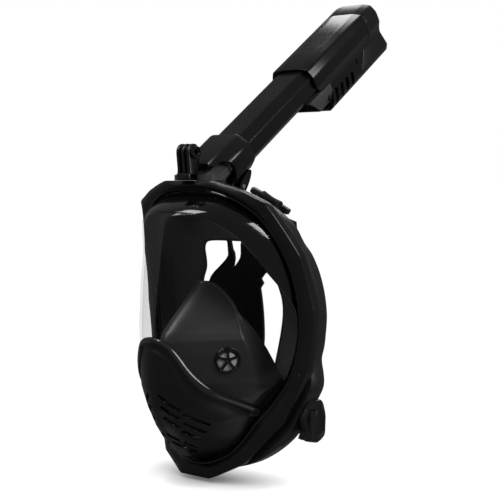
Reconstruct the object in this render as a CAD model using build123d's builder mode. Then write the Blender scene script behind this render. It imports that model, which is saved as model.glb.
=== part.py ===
"""Full face snorkel: a panoramic lens and chin cover in a ring frame, a silicone face skirt with a nose
pocket and one-way valves, a head strap, a camera fork, and a breathing tube that folds back on a hinge.

Millimetres. +Z up, +Y towards the wearer's head, +X to the wearer's left.
Origin: the centre of the face opening, where the seal meets the face.
"""

import os
from math import cos, radians, sin

from build123d import *

os.makedirs("parts", exist_ok=True)

# ---------------------------------------------------------------- ring frame
half_width = 99.0           # half the frame's width
top_height = 125.5          # frame top above the face centre
chin_drop = 137.0           # frame bottom below the face centre
mask_depth = 123.0          # foremost line of the lens in front of the seal
ring_radius = 200.0         # the ring curves back round the face on this radius
ring_level = -10.0          # height where the ring stands furthest back
ring_back = -30.0           # the ring's depth at that height
frame_thick = 4.0
frame_depth = 16.0
frame_bevel = 6.0
clamp_thick = 3.0
lens_lip = 2.5
skirt_bead = 3.0

# ---------------------------------------------------------------- lens and chin
lens_wall = 2.5
nose_radius = 36.0          # the lens's rounded nose, seen from above
nose_turn = 38.0            # degrees it turns through to each side
cheek_radius = 250.0
cheek_turn = 34.0
lens_lean = 5.0             # degrees
roof_front = 98.0           # height of the lens's front upper edge
chin_bend = -48.0           # height where the chin starts to slope back
cover_gap = 0.4
cover_wall = 2.4
trim_wall = 3.2
trim_width = 4.0
cover_peak = -8.0           # height of the chin cover's peak

# ---------------------------------------------------------------- silicone
skirt_wall = 3.0
skirt_depth = 31.0
skirt_neck = 13.0            # how far the narrow neck runs back before the skirt widens
pocket_wall = 2.2
pocket_nose = 12.0
pocket_turn = 57.0
valve_radius = 11.5
valve_rim = 1.4
valve_depth = 4.0
flap_thick = 0.8
chin_valve_radius = 11.0

# ---------------------------------------------------------------- snorkel
tube_lean = 55.5            # degrees from upright
tube_foot_y = -51.0
tube_foot_z = top_height + 4.5
tube_width = 42.0
tube_thick = 28.0
tube_wall = 2.2
tube_corner = 8.0
tube_start = 13.0
tube_end = 170.0
collar_wall = 4.0
collar_start = -8.0
collar_end = 40.0
knuckle_radius = 5.0
hinge_gap = 3.0             # between the tube's rear wall and the knuckles
hinge_rear = tube_thick / 2 + knuckle_radius + hinge_gap
hinge_up = 15.0
pin_radius = 2.0
pin_clearance = 0.06
hinge_half = tube_width / 2
knuckle_width = 7.0
head_start = 154.0
cap_start = 262.0
head_end = 287.0
head_wall = 2.0
head_gap = 1.0              # between the tube's front wall and the dry top
head_side_gap = 2.0
head_width = tube_width + 2 * (head_wall + head_side_gap)
head_front = tube_thick / 2 + head_wall + head_gap
head_rear = 41.0
scoop_gap = 6.0
scoop_wall = 2.0
float_travel = 9.0

# ---------------------------------------------------------------- camera fork and strap
fork_thick = 3.0
fork_pitch = 6.0
fork_radius = 7.5
fork_bore = 2.6
fork_y = -77.0
fork_z = top_height + 24.5
strap_thick = 3.0
strap_gap = 1.5              # between the skirt and the strap panel behind it

LENS_HALF = [(36, 114), (66, 92), (82, 50), (86, 5), (83, -24), (76, -48), (61, -69), (50, -83),
             (42, -100), (28, -115), (10, -122)]
FRAME_HALF = [(34, 125.5), (54, 117), (73, 107), (92, 62), (99, 12), (93, -40), (76, -85),
              (46, -122), (16, -137)]
SKIRT_HALF = [(40, 118), (73, 92), (88, 52), (91.5, 12), (90, -20), (89, -54), (81, -79), (66, -104),
              (46, -121), (22, -130)]
OPENING_HALF = [(26, 70), (38, 65), (41, 50), (48, 8), (43, -35), (36, -76), (16, -92)]
POCKET_HALF = [(12, 32), (31, 10), (47, -25), (48, -78), (22, -98)]
COVER_HALF = [(8, -12), (15, -21), (23, -37), (35, -51), (52, -68), (58, -78)]
STRAP_HALF = [(8, 62), (16, 80), (42, 92), (56, 80), (52, 42), (40, 4), (44, -40), (66, -70),
              (62, -97), (38, -88), (14, -70)]
UPPER_ARM = [(47, 92.5), (59, 81.5), (65, 88), (54, 99)]
LOWER_ARM = [(66.5, -71), (62.5, -98), (85.8, -99), (85.8, -73)]
UPPER_SLOTS = [(12, -63.5, 20), (12.5, -70.5, 17), (13, -77, 13), (29, -77, 17), (27.5, -84, 16),
               (26, -90.5, 13)]
LOWER_SLOTS = [(9, -94.4, 14), (8, -100, 10), (20, -103, 11), (16, -108, 9)]
CLIP_PROFILE = [(-28, -81), (-17, -65), (1, -67), (6, -81), (5, -100), (-5, -105), (-22, -101)]

arc_centre = ring_back - ring_radius
tube_plane = Plane(
    origin=(0, tube_foot_y, tube_foot_z),
    x_dir=(1, 0, 0),
    z_dir=(0, sin(radians(tube_lean)), cos(radians(tube_lean))),
)


def save(piece, name):
    """Labels a finished piece and writes it."""
    piece.part.label = name
    export_step(piece.part, f"parts/{name}.step")


def scaled(half):
    """A half outline, scaled to the mask's own size."""
    return [
        (x * half_width / 99.0, z * (top_height / 125.5 if z > 0 else chin_drop / 137.0))
        for x, z in half
    ]


def mirrored(half):
    """The closed list of points from the right half's points."""
    return half + [(-x, z) for x, z in reversed(half)]


def outline(half, grow=0.0, corner=0.0):
    """A symmetrical face seen from the front, moved out by grow."""
    with BuildSketch(Plane.XZ) as face:
        with BuildLine():
            Polyline(*mirrored(scaled(half)), close=True)
        make_face()
        if corner:
            fillet(face.vertices(), corner)
        if grow:
            offset(amount=grow, kind=Kind.INTERSECTION, mode=Mode.REPLACE)
    return face.sketch


def column(face):
    """A front outline carried through the whole depth of the mask."""
    with BuildPart() as solid:
        extrude(face, amount=170, both=True)
    return solid.part


def band(front, rear):
    """The layer between two depths behind the ring's curve, seen from the side an arc."""
    with BuildPart() as layer:
        with BuildSketch(Plane.YZ) as side:
            with Locations((arc_centre, ring_level)):
                Circle(ring_radius + rear)
                Circle(ring_radius + front, mode=Mode.SUBTRACT)
            with Locations((arc_centre + 100, ring_level)):
                Rectangle(2 * ring_radius, 3 * ring_radius, align=(Align.MIN, Align.CENTER),
                          mode=Mode.INTERSECT)
        extrude(amount=130, both=True)
    return layer.part


def ring(outer, inner, front, rear):
    """A ring between two front outlines, in one layer of the arc."""
    with BuildPart() as part:
        add(band(front, rear))
        add(column(outer), mode=Mode.INTERSECT)
        add(column(inner), mode=Mode.SUBTRACT)
    return part.part


def prow(grow, nose, turn, cheek, cheek_sweep, front, lean):
    """A block with a rounded nose seen from above, leaning back, moved out by grow."""
    with BuildPart() as block:
        tilt = Plane.XY.rotated((-lean, 0, 0)).offset(-200)
        with BuildSketch(tilt):
            with BuildLine():
                first = JernArc(start=(0, front), tangent=(1, 0), radius=nose, arc_size=turn)
                second = JernArc(start=first @ 1, tangent=first % 1, radius=cheek,
                                 arc_size=cheek_sweep)
                end = second @ 1
                Line(end, (end.X, 90))
                Line((end.X, 90), (0, 90))
                mirror(about=Plane.YZ)
            make_face()
            if grow:
                offset(amount=grow, mode=Mode.REPLACE)
        extrude(amount=400)
    return block.part


def side_cut(points, grow=0.0):
    """A block with a profile seen from the side, moved out by grow."""
    with BuildPart() as block:
        with BuildSketch(Plane.YZ):
            with BuildLine():
                Polyline(*points, close=True)
            make_face()
            if grow:
                offset(amount=grow, kind=Kind.INTERSECTION, mode=Mode.REPLACE)
        extrude(amount=130, both=True)
    return block.part


def lens_form(grow, side=0.0):
    """The lens's solid form: front outline, plan and side profile together."""
    front = -mask_depth
    roof = roof_front * top_height / 125.5
    profile = [
        (40, roof + 95), (front + 14, roof), (front, 40), (front, chin_bend),
        (front + 20, -98 * chin_drop / 137.0), (front + 62, -134 * chin_drop / 137.0),
        (40, -200),
    ]
    with BuildPart() as form:
        add(prow(grow, nose_radius, nose_turn, cheek_radius, cheek_turn, front, lens_lean))
        add(side_cut(profile, grow), mode=Mode.INTERSECT)
        add(column(outline(LENS_HALF, side)), mode=Mode.INTERSECT)
    return form.part


def pocket_form(grow):
    """The nose pocket's solid form."""
    front = -mask_depth + 12
    profile = [
        (40, 80), (front + 50, 33), (front + 2, -6), (front, -14), (front + 2, -50),
        (front + 28, -92), (40, -110),
    ]
    with BuildPart() as form:
        add(prow(grow, pocket_nose, pocket_turn, 400.0, 10.0, front, 0.0))
        add(side_cut(profile, grow), mode=Mode.INTERSECT)
        add(column(outline(POCKET_HALF, grow)), mode=Mode.INTERSECT)
    return form.part


def octagon(width, front, rear, corner, grow=0.0):
    """The snorkel's faceted section: front is the side turned to the sky."""
    x = width / 2 + grow
    a = front + grow
    b = rear + grow
    c = corner + 0.4 * grow
    return [(x - c, -a), (x, -a + c), (x, b - c), (x - c, b),
            (-x + c, b), (-x, b - c), (-x, -a + c), (-x + c, -a)]


def sleeve(points, start, end):
    """A prism along the snorkel."""
    with BuildPart() as prism:
        with BuildSketch(tube_plane.offset(start)):
            with BuildLine():
                Polyline(*points, close=True)
            make_face()
        extrude(amount=end - start)
    return prism.part


def tube_box(x, y, z, dx, dy, dz):
    """A box in the snorkel's own directions: middle of its foot, and its sizes."""
    with BuildPart() as block:
        with Locations(tube_plane.location * Location((x, y, z))):
            Box(dx, dy, dz, align=(Align.CENTER, Align.CENTER, Align.MIN))
    return block.part


def cross_bar(x0, x1, y, z, radius):
    """A cylinder along X, placed in the snorkel's own directions."""
    with BuildPart() as bar:
        with BuildSketch(Plane(tube_plane.from_local_coords((x0, y, z)), z_dir=(1, 0, 0))):
            Circle(radius)
        extrude(amount=x1 - x0)
    return bar.part


# ================================================================ frame, lens and chin
window = outline(LENS_HALF, 0.3)
frame_out = outline(FRAME_HALF)
bead_out = outline(LENS_HALF, 5.5)
skirt_out = outline(LENS_HALF, 3.5)
skirt_in = outline(LENS_HALF, 3.5 - skirt_wall)
opening = outline(OPENING_HALF, corner=6.0)

lip_front = frame_thick - 2
bead_front = lip_front + lens_lip
clamp_front = bead_front + skirt_bead
clamp_rear = clamp_front + clamp_thick

with BuildPart() as airway_cut:
    with BuildSketch(Plane.XY.offset(100)):
        with Locations((0, -68)):
            Rectangle(26, 8)
    extrude(amount=60)
airway = airway_cut.part

with BuildPart() as frame_hollow:
    add(band(lip_front, 40))
    add(column(outline(FRAME_HALF, -frame_thick)), mode=Mode.INTERSECT)

with BuildPart() as outer_frame:
    add(band(-2, -2 + frame_depth))
    add(column(frame_out), mode=Mode.INTERSECT)
    front_edges = outer_frame.faces().filter_by(GeomType.CYLINDER).sort_by(SortBy.AREA)[-2:]
    front_face = front_edges.sort_by(Axis.Y)[0]
    chamfer(front_face.edges(), length=frame_bevel)
    add(column(window), mode=Mode.SUBTRACT)
    add(frame_hollow.part, mode=Mode.SUBTRACT)
    add(airway, mode=Mode.SUBTRACT)

with BuildPart() as frame_clamp:
    add(ring(outline(FRAME_HALF, -frame_thick - 0.3), outline(LENS_HALF, 3.8), clamp_front, clamp_rear))
    add(airway, mode=Mode.SUBTRACT)

with BuildPart() as lens_flange:
    add(ring(outline(LENS_HALF, 4.0), outline(LENS_HALF, -1.0), lip_front, bead_front))
    add(column(outline(FRAME_HALF, -frame_thick - 0.4)), mode=Mode.INTERSECT)

with BuildPart() as lens:
    add(lens_form(0))
    add(lens_form(-lens_wall, -lens_wall), mode=Mode.SUBTRACT)
    add(band(bead_front, 160), mode=Mode.SUBTRACT)
    add(lens_flange.part)


def curve_depth(z):
    """The depth of the ring's curve at one height."""
    return arc_centre + (ring_radius ** 2 - (z - ring_level) ** 2) ** 0.5


def clamp_screw(x, z):
    """A screw from the clamp into the frame's face."""
    with BuildPart() as screw:
        with BuildSketch(Plane.XZ.offset(-curve_depth(z) - 0.5)):
            with Locations((x, z)):
                Circle(1.2)
        extrude(amount=-clamp_rear)
        with BuildSketch(Plane.XZ.offset(-curve_depth(z) - 0.5 - clamp_rear)):
            with Locations((x, z)):
                Circle(2.0)
        extrude(amount=-1.6)
    return screw.part


width_share = half_width / 99.0
SCREWS = [(86.5 * width_share, 57.0), (92.8 * width_share, 8.0), (86.5 * width_share, -42.0)]
with BuildPart() as clamp_screws:
    for x, z in SCREWS:
        add(clamp_screw(x, z))
        add(clamp_screw(-x, z))

with BuildPart() as drilled_frame:
    add(outer_frame.part)
    add(clamp_screws.part, mode=Mode.SUBTRACT)
with BuildPart() as drilled_clamp:
    add(frame_clamp.part)
    add(clamp_screws.part, mode=Mode.SUBTRACT)

# the chin cover stands over the lens's lower part; its upper edge is a rounded peak
cover_points = [(x, z + cover_peak + 8.0) for x, z in COVER_HALF]
trim_points = [(x, z + trim_width) for x, z in cover_points]
chin_point = (0, -mask_depth + 34, -110 * chin_drop / 137.0)
chin_plane = Plane(origin=chin_point, x_dir=(1, 0, 0), z_dir=(0, -0.65, -0.76))


def below(points):
    """A column of everything in front of the lens that lies below the cover's edge."""
    with BuildSketch(Plane.XZ) as face:
        with BuildLine():
            Polyline(*mirrored(points + [(120, points[-1][1] - 10), (120, -160)]), close=True)
        make_face()
    return column(face.sketch)


def chin_bore(radius, start, depth):
    """A cylinder through the chin, square to its slope."""
    with BuildPart() as bore:
        with BuildSketch(chin_plane.offset(start)):
            Circle(radius)
        extrude(amount=depth)
    return bore.part


cover_base = lens_form(cover_gap, -1.0)
with BuildPart() as chin_cover:
    add(lens_form(cover_gap + cover_wall, -1.0))
    add(cover_base, mode=Mode.SUBTRACT)
    add(below(cover_points), mode=Mode.INTERSECT)
    add(band(-1.5, 160), mode=Mode.SUBTRACT)
    with BuildSketch(Plane.XZ) as slots:
        for side in (-1, 1):
            for x, z, length in UPPER_SLOTS:
                with Locations((side * x, z)):
                    SlotOverall(length, 3.6, rotation=-side * 32)
            for x, z, length in LOWER_SLOTS:
                with Locations((side * x, z)):
                    SlotOverall(length, 3.0, rotation=-side * 36)
    extrude(slots.sketch, amount=170, mode=Mode.SUBTRACT)

with BuildPart() as cover_trim:
    add(lens_form(cover_gap + trim_wall, -1.0))
    add(cover_base, mode=Mode.SUBTRACT)
    add(below(trim_points), mode=Mode.INTERSECT)
    add(below(cover_points), mode=Mode.SUBTRACT)
    add(band(-1.5, 160), mode=Mode.SUBTRACT)

with BuildPart() as drilled_lens:
    add(lens.part)
    add(chin_bore(chin_valve_radius, -20, 40), mode=Mode.SUBTRACT)

# ================================================================ silicone
skirt_rear = bead_front + skirt_depth
neck_rear = bead_front + skirt_neck
with BuildPart() as neck_hollow:
    add(band(bead_front - 5, neck_rear + 0.1))
    add(column(skirt_in), mode=Mode.INTERSECT)

with BuildPart() as skirt_hollow:
    add(band(neck_rear, skirt_rear - skirt_wall))
    add(column(outline(SKIRT_HALF, -skirt_wall)), mode=Mode.INTERSECT)
    add(neck_hollow.part)

with BuildPart() as skirt_bead_ring:
    add(band(bead_front, clamp_front))
    add(column(bead_out), mode=Mode.INTERSECT)
    add(column(outline(FRAME_HALF, -frame_thick - 0.4)), mode=Mode.INTERSECT)

with BuildPart() as skirt_tub:
    add(band(neck_rear - skirt_wall, skirt_rear))
    add(column(outline(SKIRT_HALF)), mode=Mode.INTERSECT)

with BuildPart() as face_skirt:
    add(band(bead_front, neck_rear))
    add(column(skirt_out), mode=Mode.INTERSECT)
    add(skirt_bead_ring.part)
    add(skirt_tub.part)
    add(skirt_hollow.part, mode=Mode.SUBTRACT)
    add(column(opening), mode=Mode.SUBTRACT)
    add(airway, mode=Mode.SUBTRACT)

half_angle = radians(pocket_turn)
wall_normal = Vector(sin(half_angle), -cos(half_angle), 0)
valve_x = 35.3
wall_start = Vector(
    pocket_nose * sin(half_angle),
    -mask_depth + 12 + pocket_nose * (1 - cos(half_angle)),
    0,
)
valve_run = (valve_x - wall_start.X) / cos(half_angle)
valve_y = wall_start.Y + valve_run * sin(half_angle) + 1.0
valve_z = -30.0


def valve_plane(side):
    """The inlet valve's plane on one side of the nose pocket, facing away from the nose."""
    return Plane(
        origin=(side * valve_x, valve_y, valve_z),
        x_dir=(side * cos(half_angle), sin(half_angle), 0),
        z_dir=(side * wall_normal.X, wall_normal.Y, 0),
    )


def disc(plane, radius, start, depth):
    """A round disc in front of a plane."""
    with BuildPart() as part:
        with BuildSketch(plane.offset(start)):
            Circle(radius)
        extrude(amount=depth)
    return part.part


def valve_seat(plane, radius, start, depth):
    """A rim with a hub and five spokes."""
    with BuildPart() as seat:
        with BuildSketch(plane.offset(start)):
            Circle(radius)
            Circle(radius - valve_rim, mode=Mode.SUBTRACT)
        extrude(amount=depth)
        with BuildSketch(plane.offset(start + depth / 2 + 0.6)):
            Circle(2.6)
            with PolarLocations(0, 5):
                Rectangle(radius - 0.5, 1.6, align=(Align.MIN, Align.CENTER))
        extrude(amount=1.6)
    return seat


with BuildPart() as nose_pocket:
    add(pocket_form(0))
    add(pocket_form(-pocket_wall), mode=Mode.SUBTRACT)
    add(band(skirt_rear - skirt_wall, 200), mode=Mode.SUBTRACT)
    with BuildSketch(Plane.YZ) as face_line:
        with BuildLine():
            Polyline((-72, 42), (-64, 30), (-26, -25), (-4, -58), (60, -58), (60, 90), (-72, 90),
                     close=True)
        make_face()
    extrude(face_line.sketch, amount=100, both=True, mode=Mode.SUBTRACT)
    for side in (-1, 1):
        add(disc(valve_plane(side), valve_radius, -12, 24), mode=Mode.SUBTRACT)

left_valve_seat = valve_seat(valve_plane(1), valve_radius, -valve_depth, 2 * valve_depth)
right_valve_seat = valve_seat(valve_plane(-1), valve_radius, -valve_depth, 2 * valve_depth)
flap_radius = valve_radius - valve_rim - 0.4
with BuildPart() as left_valve_flap:
    add(disc(valve_plane(1), flap_radius, 0.6 - flap_thick, flap_thick))
with BuildPart() as right_valve_flap:
    add(disc(valve_plane(-1), flap_radius, 0.6 - flap_thick, flap_thick))

chin_valve_seat = valve_seat(chin_plane, chin_valve_radius, -5.2, 5.0)
chin_flap_start = -5.2 + 2.5 + 0.6 + 1.6
with BuildPart() as chin_valve_flap:
    add(disc(chin_plane, chin_valve_radius - valve_rim - 0.4, chin_flap_start, flap_thick))

# ================================================================ snorkel socket and hinge
hinge_y = hinge_rear
post_top = 10.0
post_width = tube_width - 4.0
tube_points = octagon(tube_width, tube_thick / 2, tube_thick / 2, tube_corner)
collar_points = octagon(tube_width, tube_thick / 2, tube_thick / 2, tube_corner, collar_wall)
frame_top = top_height

with BuildPart() as above_frame:
    with BuildSketch(Plane.XY.offset(frame_top)):
        Rectangle(200, 300)
    extrude(amount=120)

arm_start = tube_foot_y - 1
hinge_centre = tube_plane.from_local_coords((0, hinge_y, hinge_up))
with BuildPart() as snorkel_socket:
    add(sleeve(octagon(post_width, 10, 9, 6), -20, post_top))
    with BuildSketch(Plane.XY.offset(frame_top)):
        with Locations((0, tube_foot_y - 10.75)):
            RectangleRounded(tube_width + 4, 23.5, 6)
    extrude(amount=5)
    add(above_frame.part, mode=Mode.INTERSECT)
    with BuildSketch(Plane.XY.offset(frame_top - 4.5)):
        with Locations((0, arm_start)):
            Rectangle(26, hinge_centre.Y - arm_start, align=(Align.CENTER, Align.MIN))
    extrude(amount=4)
    with BuildSketch(Plane.XY.offset(frame_top - 4.5)):
        with Locations((0, arm_start)):
            Rectangle(26, 11, align=(Align.CENTER, Align.MIN))
    extrude(amount=6)
    add(cross_bar(-13, 13, hinge_y, hinge_up, knuckle_radius))
    add(cross_bar(-40, 40, hinge_y, hinge_up, pin_radius), mode=Mode.SUBTRACT)
    for x in (-11, 0, 11):
        add(tube_box(x, 0, -40, 8, 10, 80), mode=Mode.SUBTRACT)
    add(sleeve(octagon(tube_width, tube_thick / 2, tube_thick / 2, tube_corner, 0.4), tube_start - 0.4,
               tube_end), mode=Mode.SUBTRACT)

with BuildPart() as socket_seal:
    add(sleeve(octagon(post_width, 10, 9, 6), post_top, tube_start - 0.3))
    for x in (-11, 0, 11):
        add(tube_box(x, 0, 0, 8, 10, 40), mode=Mode.SUBTRACT)

with BuildPart() as hinge_pin:
    add(cross_bar(-hinge_half, hinge_half, hinge_y, hinge_up, pin_radius))

with BuildPart() as snorkel_collar:
    add(sleeve(collar_points, collar_start, collar_end))
    add(sleeve(tube_points, collar_start - 1, collar_end + 1), mode=Mode.SUBTRACT)
    add(tube_box(0, 41, -20, tube_width, 60, 20 + hinge_up + 7), mode=Mode.SUBTRACT)
    add(cross_bar(-40, 40, -0.5, collar_start + 5, 13.5), mode=Mode.SUBTRACT)
    add(tube_box(0, 24, -20, 80, 46, 23), mode=Mode.SUBTRACT)
    for side in (-1, 1):
        middle = side * (hinge_half - knuckle_width / 2)
        add(cross_bar(middle - knuckle_width / 2, middle + knuckle_width / 2, hinge_y, hinge_up,
                      knuckle_radius))
        add(tube_box(middle, hinge_rear - 3.5, hinge_up, knuckle_width, 9, 17))
    add(cross_bar(-40, 40, hinge_y, hinge_up, pin_radius + pin_clearance), mode=Mode.SUBTRACT)

# ================================================================ snorkel tube and dry top
with BuildPart() as snorkel_tube:
    add(sleeve(tube_points, tube_start, tube_end))
    inside = octagon(tube_width, tube_thick / 2, tube_thick / 2, tube_corner, -tube_wall)
    add(sleeve(inside, tube_start - 1, tube_end + 1), mode=Mode.SUBTRACT)
    for x in (-7, 7):
        add(tube_box(x, 0, tube_start, 1.6, tube_thick - 1, tube_end - tube_start))

head_points = octagon(head_width, head_front, head_rear, 9.0)
head_inside = octagon(head_width, head_front, head_rear, 9.0, -head_wall)
with BuildPart() as drytop_housing:
    add(sleeve(head_points, head_start, cap_start))
    add(sleeve(head_inside, head_start - 1, cap_start + 1), mode=Mode.SUBTRACT)
    for step in range(5):
        for side in (-1, 1):
            add(tube_box(side * (head_width / 2 - 2), 28, head_start + 17 + 11 * step, 12, 15, 5),
                mode=Mode.SUBTRACT)

with BuildPart() as drytop_cap:
    add(sleeve(head_points, cap_start, head_end))
    add(sleeve(head_inside, cap_start - 1, head_end - head_wall), mode=Mode.SUBTRACT)

with BuildPart() as intake_scoop:
    near = tube_thick / 2
    side = tube_width / 2
    back = head_rear - head_wall - scoop_gap
    mouth = side - scoop_wall
    add(sleeve([(-side, near), (side, near), (side, back - 11), (side - 5, back), (5 - side, back),
                (-side, back - 11)], 142, 168))
    add(sleeve([(-mouth, near - 1), (mouth, near - 1), (mouth, back - 12), (mouth - 4, back - 2),
                (4 - mouth, back - 2), (-mouth, back - 12)], 144, 170), mode=Mode.SUBTRACT)
    with BuildSketch(Plane.YZ) as wedge:
        foot = tube_plane.from_local_coords((0, near - 2, 140))
        far = tube_plane.from_local_coords((0, back + 3, 140))
        high = tube_plane.from_local_coords((0, back + 3, 160))
        with BuildLine():
            Polyline((foot.Y, foot.Z), (far.Y, far.Z), (high.Y, high.Z), close=True)
        make_face()
    extrude(wedge.sketch, amount=40, both=True, mode=Mode.SUBTRACT)

cage_start = tube_end
cage_end = tube_end + 52
with BuildPart() as float_cage:
    add(tube_box(0, 5, cage_start, 38, 26, 2))
    for x, y in ((-17.4, -6.4), (17.4, -6.4), (-17.4, 16.4), (17.4, 16.4)):
        add(tube_box(x, y, cage_start, 2.8, 2.8, cage_end - cage_start))
    add(tube_box(0, 5, cage_end - 2, 38, 26, 2))
    add(tube_box(0, 0, cage_start - 1, 26, 14, 4), mode=Mode.SUBTRACT)
    add(tube_box(0, 5, cage_end - 4, 24, 16, 6), mode=Mode.SUBTRACT)

with BuildPart() as float_seal:
    add(tube_box(0, 5, cage_end - 4, 32, 24, 2))
    add(tube_box(0, 5, cage_end - 5, 24, 16, 6), mode=Mode.SUBTRACT)

float_start = cage_start + 2
float_high = cage_end - 4 - float_travel - 0.3 - float_start
with BuildPart() as float_block:
    add(tube_box(0, 5, float_start, 30, 20, float_high))
    chamfer(float_block.edges(), 2.5)

# ================================================================ camera fork
with BuildPart() as camera_fork:
    with BuildSketch(Plane.XY.offset(frame_top)):
        with Locations((0, fork_y)):
            Rectangle(2 * fork_pitch + fork_thick, 2 * fork_radius)
    extrude(amount=fork_z - frame_top)
    with BuildSketch(Plane.XY.offset(frame_top)):
        with Locations((0, tube_foot_y - 24)):
            Rectangle(40, 21, align=(Align.CENTER, Align.MIN))
    extrude(amount=5.5, mode=Mode.SUBTRACT)
    with BuildSketch(Plane.YZ.offset(-fork_pitch - fork_thick / 2)):
        with Locations((fork_y, fork_z)):
            Circle(fork_radius)
    extrude(amount=2 * fork_pitch + fork_thick)
    for x in (-fork_pitch / 2, fork_pitch / 2):
        with BuildSketch(Plane.YZ.offset(x - (fork_pitch - fork_thick) / 2)):
            with Locations((fork_y, fork_z + 20)):
                Rectangle(40, 60, align=(Align.CENTER, Align.CENTER))
        extrude(amount=fork_pitch - fork_thick, mode=Mode.SUBTRACT)
    with BuildSketch(Plane.YZ.offset(-20)):
        with Locations((fork_y, fork_z)):
            Circle(fork_bore)
    extrude(amount=40, mode=Mode.SUBTRACT)

with BuildPart() as camera_nut:
    with BuildSketch(Plane.YZ.offset(fork_pitch + fork_thick / 2)):
        with Locations((fork_y, fork_z)):
            RegularPolygon(5.6, 6)
            Circle(fork_bore, mode=Mode.SUBTRACT)
    extrude(amount=3.2)

# ================================================================ strap
strap_front = skirt_rear + strap_gap


def strap_piece(points):
    """A flat strap that follows the skirt's rear curve."""
    with BuildSketch(Plane.XZ) as face:
        with BuildLine():
            Polyline(*points, close=True)
        make_face()
        fillet(face.vertices(), 1.5)
    with BuildPart() as part:
        add(band(strap_front, strap_front + strap_thick))
        add(column(face.sketch), mode=Mode.INTERSECT)
    return part


def bar(start, end, width, thick, up):
    """A straight strip from one point to another; up is square to its flat side."""
    run = Vector(*end) - Vector(*start)
    with BuildPart() as strip:
        with BuildSketch(Plane(origin=start, x_dir=Vector(*up).cross(run), z_dir=run)):
            Rectangle(width, thick)
        extrude(amount=run.length)
    return strip


strap_panel = strap_piece(mirrored(scaled(STRAP_HALF)))
pieces = {
    "outer_frame": drilled_frame,
    "frame_clamp": drilled_clamp,
    "clamp_screws": clamp_screws,
    "lens": drilled_lens,
    "chin_cover": chin_cover,
    "cover_trim": cover_trim,
    "face_skirt": face_skirt,
    "nose_pocket": nose_pocket,
    "left_valve_seat": left_valve_seat,
    "right_valve_seat": right_valve_seat,
    "left_valve_flap": left_valve_flap,
    "right_valve_flap": right_valve_flap,
    "chin_valve_seat": chin_valve_seat,
    "chin_valve_flap": chin_valve_flap,
    "snorkel_socket": snorkel_socket,
    "socket_seal": socket_seal,
    "hinge_pin": hinge_pin,
    "snorkel_collar": snorkel_collar,
    "snorkel_tube": snorkel_tube,
    "drytop_housing": drytop_housing,
    "drytop_cap": drytop_cap,
    "intake_scoop": intake_scoop,
    "float_cage": float_cage,
    "float_seal": float_seal,
    "float_block": float_block,
    "camera_fork": camera_fork,
    "camera_nut": camera_nut,
    "strap_panel": strap_panel,
}


def lower_clip(sign):
    """The block that the lower strap runs through, behind the frame's cheek."""
    with BuildPart() as clip:
        with BuildSketch(Plane.YZ.offset(sign * clip_x)) as face:
            with BuildLine():
                Polyline(*CLIP_PROFILE, close=True)
            make_face()
            fillet(face.vertices(), 4)
        extrude(amount=3, both=True)
    return clip


clip_x = 89.0 * half_width / 99.0
for side, sign in (("left", 1), ("right", -1)):
    clip_low = (sign * 39, -26, top_height - 6)
    clip_high = (sign * 70, -11.5, top_height - 27.5)
    pieces[f"{side}_upper_clip"] = bar(clip_low, clip_high, 9, 5, (0, 0, 1))
    pieces[f"{side}_lower_clip"] = lower_clip(sign)
    pieces[f"{side}_upper_strap"] = strap_piece([(sign * x, z) for x, z in scaled(UPPER_ARM)])
    pieces[f"{side}_lower_strap"] = strap_piece([(sign * x, z) for x, z in scaled(LOWER_ARM)])

for name, piece in pieces.items():
    save(piece, name)
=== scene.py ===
"""Full face snorkel: the looks of the mask, its soft parts, its straps and its breathing tube."""

import logging
import math
from dataclasses import dataclass
from enum import Enum
from typing import Callable, Iterable, Sequence

import bmesh
import bpy
import numpy as np
from mathutils import Matrix, Vector


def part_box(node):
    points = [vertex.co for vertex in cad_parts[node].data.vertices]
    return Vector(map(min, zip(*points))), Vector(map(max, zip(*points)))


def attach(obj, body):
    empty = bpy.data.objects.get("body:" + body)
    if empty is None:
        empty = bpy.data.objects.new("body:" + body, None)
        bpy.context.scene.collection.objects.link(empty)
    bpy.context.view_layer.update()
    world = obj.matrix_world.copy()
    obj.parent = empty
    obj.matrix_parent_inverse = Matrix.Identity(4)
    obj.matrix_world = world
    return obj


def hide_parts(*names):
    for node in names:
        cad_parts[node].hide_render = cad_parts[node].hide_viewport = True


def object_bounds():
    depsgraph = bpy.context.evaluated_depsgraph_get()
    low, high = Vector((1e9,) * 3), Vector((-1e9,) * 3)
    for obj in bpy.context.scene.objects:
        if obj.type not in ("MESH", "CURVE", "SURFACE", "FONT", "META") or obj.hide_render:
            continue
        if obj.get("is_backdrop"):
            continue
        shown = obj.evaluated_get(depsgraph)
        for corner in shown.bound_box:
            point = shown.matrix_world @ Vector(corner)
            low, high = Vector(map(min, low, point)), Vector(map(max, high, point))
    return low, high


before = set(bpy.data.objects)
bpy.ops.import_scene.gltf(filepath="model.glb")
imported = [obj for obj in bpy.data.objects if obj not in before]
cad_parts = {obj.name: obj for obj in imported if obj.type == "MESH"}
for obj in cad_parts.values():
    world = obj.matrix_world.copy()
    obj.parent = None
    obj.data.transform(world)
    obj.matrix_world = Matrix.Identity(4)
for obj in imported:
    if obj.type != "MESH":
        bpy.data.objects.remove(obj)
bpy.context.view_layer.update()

LOG = logging.getLogger("snorkel")
MM = 0.001
STEPS = 256


class Body(Enum):
    """The rigid bodies that pieces ride on."""

    MASK = "mask"
    SNORKEL = "snorkel"
    FLOAT = "float"


class Pattern(Enum):
    """The small-scale relief of a finish."""

    GRAIN = "grain"
    WEAVE = "weave"
    SMOOTH = "smooth"


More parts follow.
